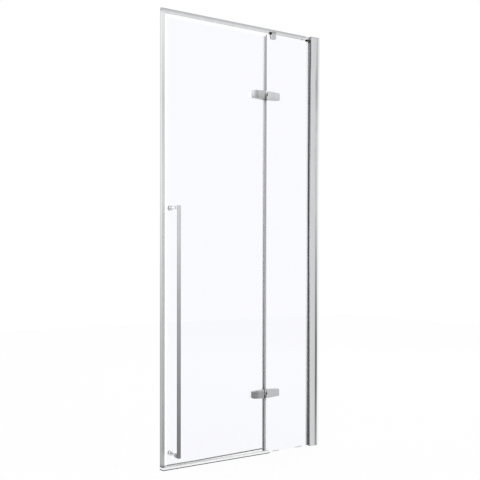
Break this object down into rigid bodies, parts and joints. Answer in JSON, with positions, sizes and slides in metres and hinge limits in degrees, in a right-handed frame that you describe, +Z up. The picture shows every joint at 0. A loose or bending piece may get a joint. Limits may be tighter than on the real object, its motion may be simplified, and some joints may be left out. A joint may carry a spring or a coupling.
{
  "type": "hinged shower door with fixed in-line pane",
  "caption": "Clear glass recess enclosure: a pivoting, rising door leaf beside a narrow fixed pane, with a header bar, wall profiles, a threshold and a long bar handle.",
  "frame": {"origin": "on the tray, midway between the two walls, in the middle of the glass thickness, at the underside of the threshold", "axes": "+X along the opening to the right as seen from outside, +Y into the shower, +Z up"},
  "size_m": [0.88, 0.1013, 2],
  "materials": {
    "chrome": "bright chrome plate",
    "polished_aluminium": "bright polished",
    "clear_glass": "clear toughened glass",
    "clear_seal": "translucent soft extrusion",
    "grey_seal": "grey translucent soft extrusion",
    "dark_rubber": "matte",
    "dark_plastic": "moulded, low friction",
    "grey_plastic": "moulded",
    "white_plastic": "moulded",
    "magnet_strip": "bonded magnet strip in a white skin",
    "steel": "stainless"
  },
  "bodies": {
    "frame": {"wall_profile": "polished_aluminium", "glass_profile": "polished_aluminium", "profile_top_cap": "grey_plastic", "profile_lock_screws": "steel", "fixed_glass": "clear_glass", "glazing_strips": "dark_rubber", "setting_blocks": "dark_rubber", "header_bar": "chrome", "header_wall_bracket": "chrome", "header_bracket_screw": "steel", "header_connector": "chrome", "header_connector_screw": "steel", "connector_pad": "dark_rubber", "header_clamp": "chrome", "header_clamp_lining": "dark_rubber", "header_clamp_screw": "steel", "header_clamp_grubs": "steel", "closing_profile": "polished_aluminium", "strike_seal": "clear_seal", "strike_magnet": "magnet_strip", "threshold": "polished_aluminium", "threshold_end_cap": "grey_plastic", "threshold_wall_cap": "grey_plastic", "upper_fixed_leaf": "chrome", "lower_fixed_leaf": "chrome", "fixed_leaf_gaskets": "grey_seal", "fixed_leaf_sleeves": "white_plastic", "fixed_leaf_plugs": "chrome", "pivot_bushes": "white_plastic", "fixed_cams": "dark_plastic", "fixed_knuckle_caps": "chrome"},
    "spindles": {"upper_spindle": "steel", "lower_spindle": "steel"},
    "door": {"door_glass": "clear_glass", "upper_door_leaf": "chrome", "lower_door_leaf": "chrome", "door_leaf_gaskets": "grey_seal", "door_leaf_sleeves": "white_plastic", "door_leaf_plugs": "chrome", "door_cams": "dark_plastic", "door_knuckle_caps": "chrome", "closing_seal": "clear_seal", "door_magnet": "magnet_strip", "hinge_seal": "clear_seal", "drip_seal": "grey_seal", "handle_bar": "chrome", "handle_arms": "chrome", "handle_rosettes": "chrome", "handle_washers": "clear_seal", "handle_bolts": "steel", "handle_caps": "chrome"}
  },
  "joints": [
    {"name": "door_swing", "type": "hinge", "parent": "frame", "child": "spindles", "pos_m": [0.112, -0.012, 0.283], "axis": [0, 0, 1], "range_deg": [0, 90]},
    {"name": "door_lift", "type": "slide", "parent": "spindles", "child": "door", "axis": [0, 0, 1], "range_m": [0, 0.006]}
  ],
  "couplings": [
    {"joint": "door_lift", "follows": "door_swing", "m_per_rad": 0.0038197}
  ]
}
